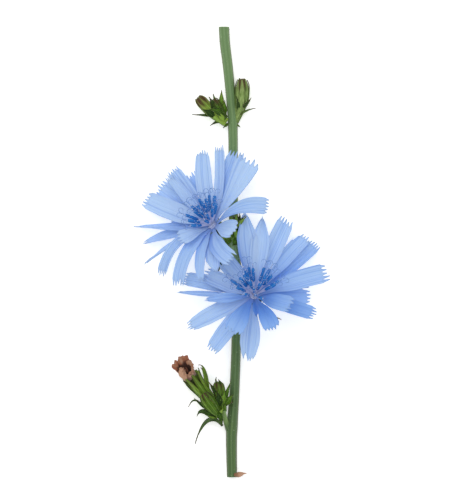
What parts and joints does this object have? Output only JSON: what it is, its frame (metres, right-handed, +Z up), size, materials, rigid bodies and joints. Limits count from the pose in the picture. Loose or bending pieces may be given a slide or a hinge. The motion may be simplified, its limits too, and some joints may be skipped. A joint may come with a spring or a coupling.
{
  "type": "cut chicory stem",
  "caption": "Fresh cut chicory stem lying down, with open blue flower heads, green buds, small leaves and a withered head.",
  "frame": {"origin": "on the flat underside of the stem, below the space between the two open heads, under the part's weight", "axes": "+Y along the stem towards its upper cut end, +Z up from the surface it lies on, +X to the side of the right flower"},
  "size_m": [0.048, 0.1126, 0.02],
  "materials": {
    "stem_green": "fresh ribbed green stem, matt with a slight sheen",
    "bud_green": "fresh green bracts, matt",
    "cup_green": "fresh green bracts, matt",
    "leaf_green": "thin green leaf, matt",
    "petal_blue": "thin translucent petal, matt",
    "anther_blue": "matt",
    "withered": "dry crumpled petal, matt"
  },
  "bodies": {
    "root": {"stem": "stem_green", "top_buds_left": "bud_green", "top_bud_right": "bud_green", "middle_bud": "bud_green", "low_bud_front": "bud_green", "low_bud_back": "bud_green", "left_flower_cup": "cup_green", "right_flower_cup": "cup_green", "spent_cup": "cup_green", "left_flower_petals": "petal_blue", "right_flower_petals": "petal_blue", "left_flower_anthers": "anther_blue", "right_flower_anthers": "anther_blue", "spent_petals": "withered", "middle_leaf": "leaf_green", "low_leaf": "leaf_green", "foot_bract": "withered"}
  },
  "joints": []
}
